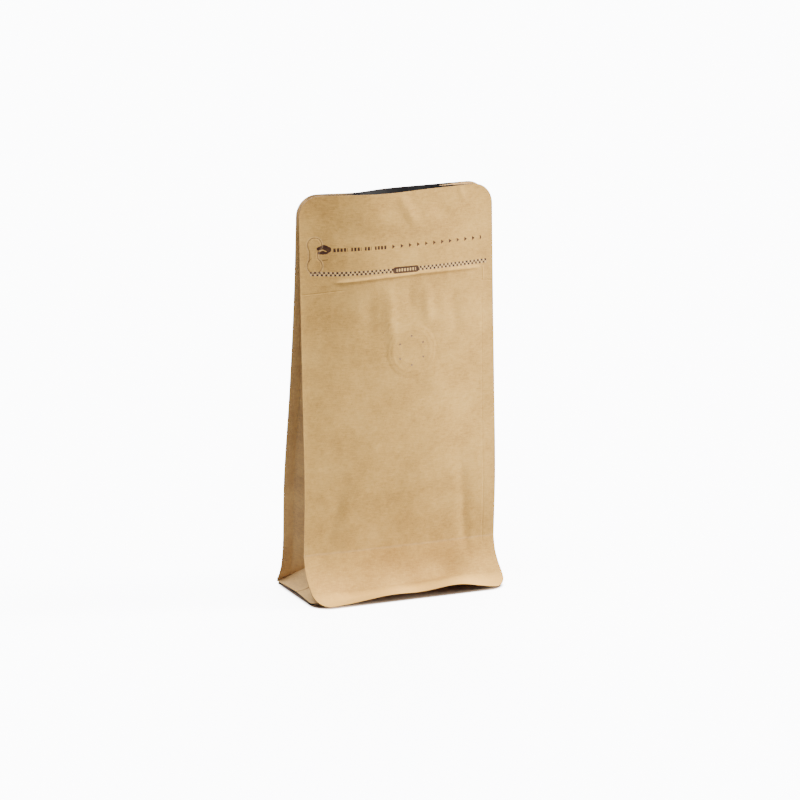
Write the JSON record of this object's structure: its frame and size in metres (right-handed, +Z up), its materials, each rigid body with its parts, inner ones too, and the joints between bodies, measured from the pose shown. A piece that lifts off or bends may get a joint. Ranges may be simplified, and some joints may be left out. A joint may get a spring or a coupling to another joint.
{
  "type": "flat-bottom coffee bag with degassing valve",
  "caption": "Empty upright flat-bottom kraft pouch with folded side gussets, flared sealed foot, inner zip strip, one-way valve and a parted mouth.",
  "frame": {"origin": "on the floor, in the middle of the bag's footprint box", "axes": "+X to the right along the front web, +Y from the front web to the back web, +Z up from the floor to the mouth"},
  "size_m": [0.09, 0.0498, 0.1773],
  "materials": {
    "kraft_laminate": "uncoated brown kraft paper outside, charcoal sealing film inside, fine fibres, soft creases",
    "kraft_shade": "uncoated brown kraft paper outside, charcoal sealing film inside, folded and creased",
    "zip_film": "dark satin polyethylene profile",
    "valve_plastic": "dark satin moulded polyethylene"
  },
  "bodies": {
    "root": {"front_panel": "kraft_laminate", "back_panel": "kraft_laminate", "gusset_left": "kraft_shade", "gusset_right": "kraft_shade", "bottom_panel": "kraft_shade", "zip_strip": "zip_film", "degassing_valve": "valve_plastic"}
  },
  "joints": []
}
